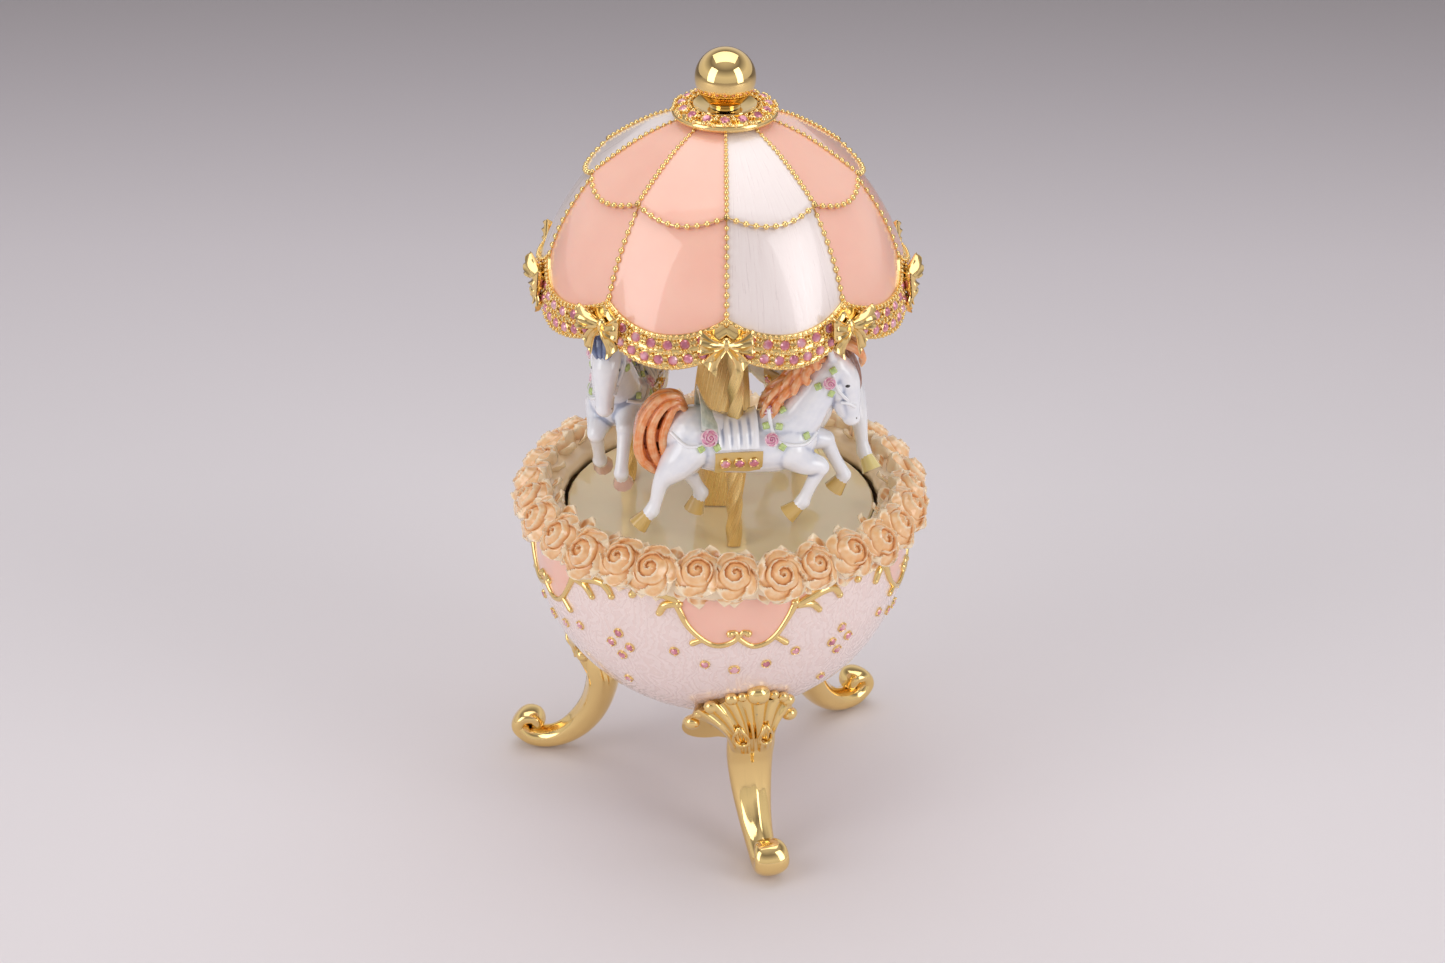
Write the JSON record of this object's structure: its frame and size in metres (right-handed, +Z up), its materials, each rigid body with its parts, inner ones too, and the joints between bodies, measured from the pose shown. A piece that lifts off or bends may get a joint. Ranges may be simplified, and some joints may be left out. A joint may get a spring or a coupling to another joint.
{
  "type": "carousel music box",
  "caption": "Egg-shaped musical ornament: a carousel with horses and a domed canopy turns above a footed bowl that holds the wind-up movement.",
  "frame": {"origin": "on the carousel's turning axis, at floor level", "axes": "+Z up along the turning axis, -Y towards the side with the large cartouche, +X to that side's right"},
  "size_m": [0.0922, 0.0921, 0.18],
  "materials": {
    "blush_enamel": "pearly translucent enamel over metal, glossy",
    "peach_enamel": "glossy opaque enamel",
    "leg_gold": "polished gold plate",
    "screw_steel": "turned",
    "brass": "fine-brushed",
    "champagne_enamel": "glossy enamel",
    "twisted_gold": "gold plate, satin",
    "pearl_enamel": "pearl white enamel with painted trappings",
    "canopy_enamel": "glossy enamel, pink and pearl gores",
    "finial_gold": "mirror-polished gold plate",
    "crystal_setting": "gold plate set with pink crystals",
    "movement_steel": "ground and polished",
    "key_gold": "gold plate"
  },
  "bodies": {
    "base": {"bowl_shell": "blush_enamel", "rose_wreath": "peach_enamel", "leg_front": "leg_gold", "leg_left": "leg_gold", "leg_right": "leg_gold", "leg_screw_1": "screw_steel", "leg_screw_2": "screw_steel", "leg_screw_3": "screw_steel", "mounting_plate": "brass", "plate_screw_1": "screw_steel", "plate_screw_2": "screw_steel", "plate_screw_3": "screw_steel", "shaft_bush": "brass", "movement_bedplate": "brass", "bedplate_screw_1": "screw_steel", "bedplate_screw_2": "screw_steel", "bedplate_screw_3": "screw_steel", "comb": "movement_steel", "comb_block": "brass", "comb_screw_1": "screw_steel", "comb_screw_2": "screw_steel", "cylinder_post_inner": "brass", "cylinder_post_outer": "brass", "governor_bracket": "brass", "key_bush": "brass", "barrel_bridge": "brass", "ratchet_click": "movement_steel"},
    "carousel": {"drive_shaft": "movement_steel", "spring_barrel": "brass", "mainspring": "movement_steel", "turntable": "champagne_enamel", "twisted_column": "twisted_gold", "pole_1": "twisted_gold", "pole_2": "twisted_gold", "pole_3": "twisted_gold", "horse_1": "pearl_enamel", "horse_2": "pearl_enamel", "horse_3": "pearl_enamel", "canopy": "canopy_enamel", "crystal_collar": "crystal_setting", "finial": "finial_gold"},
    "cylinder": {"pinned_cylinder": "brass", "cylinder_arbor": "movement_steel", "cylinder_wheel": "brass"},
    "governor": {"governor_wheel": "brass"},
    "worm": {"governor_worm": "movement_steel", "air_brake": "brass"},
    "key": {"winding_key": "key_gold", "winding_arbor": "movement_steel", "ratchet_wheel": "brass"}
  },
  "joints": [
    {"name": "carousel_spin", "type": "hinge", "parent": "base", "child": "carousel", "pos_m": [0, 0, 0], "axis": [0, 0, 1], "continuous": true},
    {"name": "cylinder_spin", "type": "hinge", "parent": "base", "child": "cylinder", "pos_m": [0, 0, 0.0513], "axis": [1, 0, 0], "continuous": true},
    {"name": "governor_spin", "type": "hinge", "parent": "base", "child": "governor", "pos_m": [0, 0.011, 0.0513], "axis": [1, 0, 0], "continuous": true},
    {"name": "worm_spin", "type": "hinge", "parent": "base", "child": "worm", "pos_m": [0.024, 0.0168, 0], "axis": [0, 0, 1], "continuous": true},
    {"name": "key_turn", "type": "hinge", "parent": "base", "child": "key", "pos_m": [0, 0, 0], "axis": [0, 0, 1], "continuous": true}
  ],
  "couplings": [
    {"joint": "cylinder_spin", "follows": "carousel_spin", "ratio": -3},
    {"joint": "governor_spin", "follows": "carousel_spin", "ratio": 4.3333},
    {"joint": "worm_spin", "follows": "carousel_spin", "ratio": -78}
  ]
}
